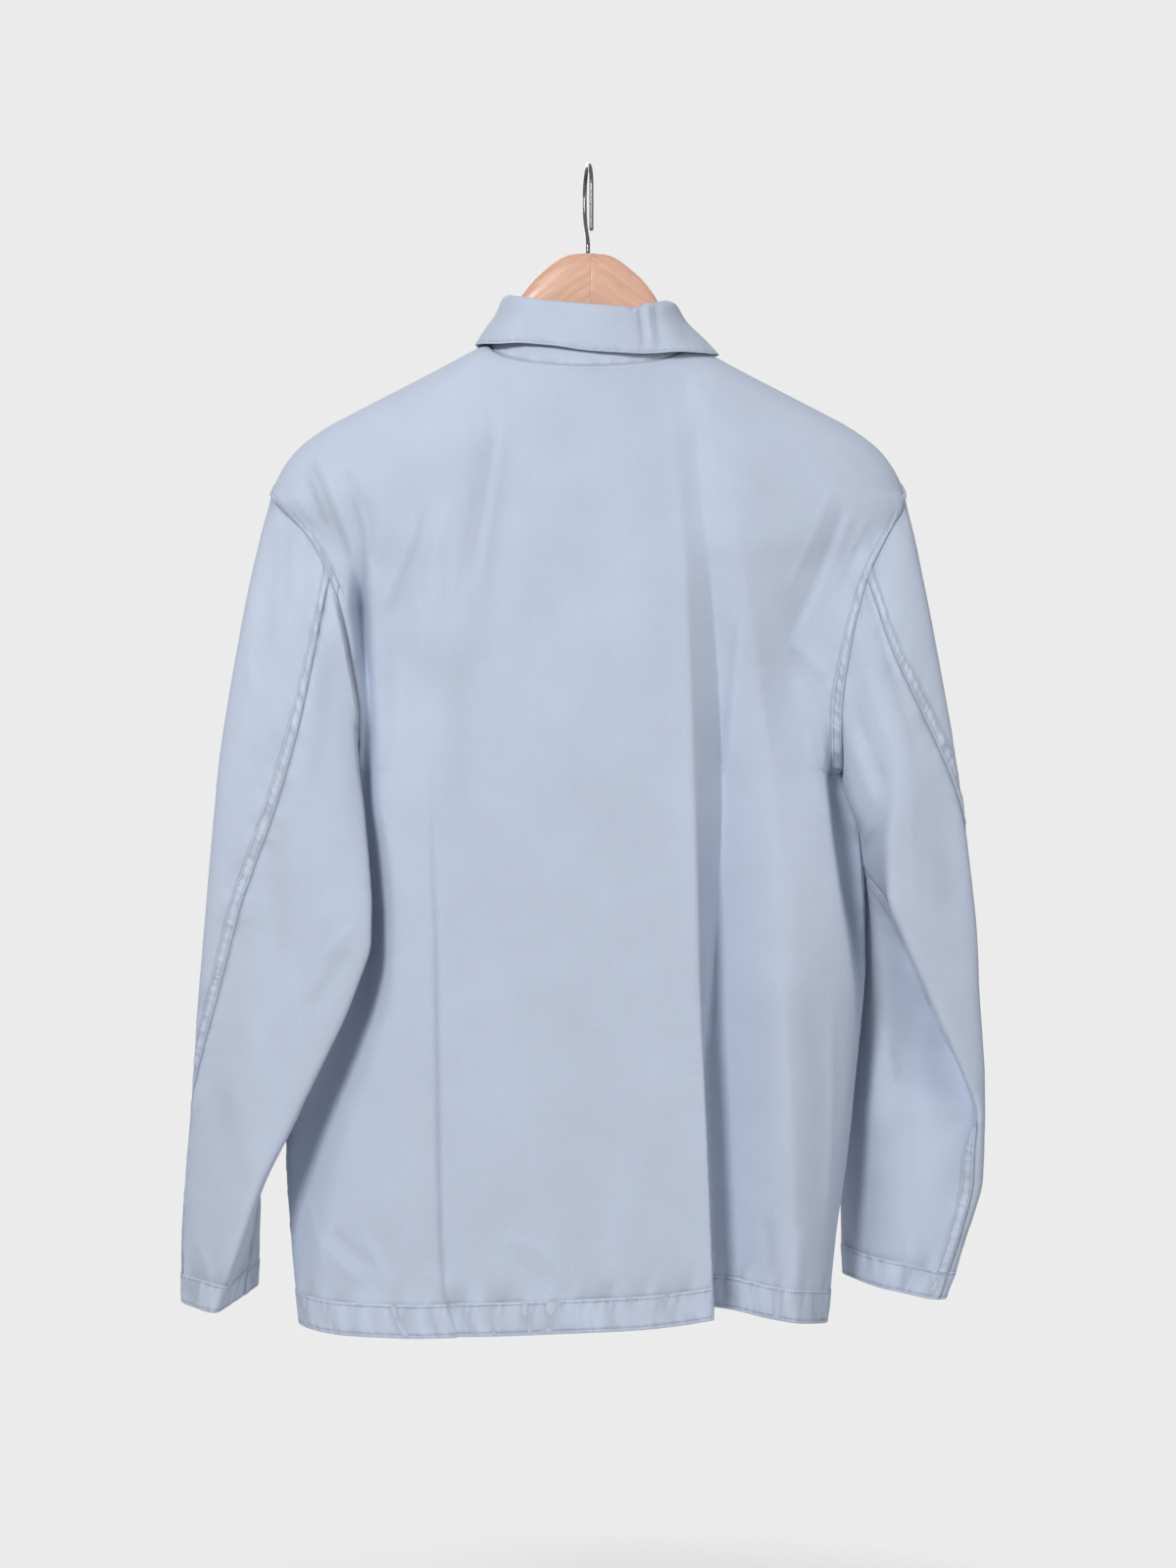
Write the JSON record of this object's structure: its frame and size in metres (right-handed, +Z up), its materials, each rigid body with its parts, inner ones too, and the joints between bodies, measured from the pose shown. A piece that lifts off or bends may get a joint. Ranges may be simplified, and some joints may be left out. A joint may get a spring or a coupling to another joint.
{
  "type": "chef shirt on hanger",
  "caption": "Long-sleeved collared chef shirt in plain poplin, hung with its back to the viewer on a two-part wooden hanger with a wire hook.",
  "frame": {"origin": "inner top of the hook's bend, where the hook rests on a rail", "axes": "+Z up, -Y out of the shirt's back, +X towards the wearer's right sleeve"},
  "size_m": [0.6218, 0.147, 0.9062],
  "materials": {
    "cloth": "plain-weave cotton poplin, washed, matt with a faint sheen",
    "button": "smooth matt",
    "wood": "clear satin lacquer",
    "steel": "brushed"
  },
  "bodies": {
    "root": {"back": "cloth", "front_left": "cloth", "front_right": "cloth", "collar_stand": "cloth", "collar_leaf": "cloth", "sleeve_left_upper": "cloth", "sleeve_left_under": "cloth", "sleeve_right_upper": "cloth", "sleeve_right_under": "cloth", "button_1": "button", "button_2": "button", "button_3": "button", "button_4": "button", "button_5": "button", "button_6": "button", "hanger_left": "wood", "hanger_right": "wood", "hook": "steel"}
  },
  "joints": []
}
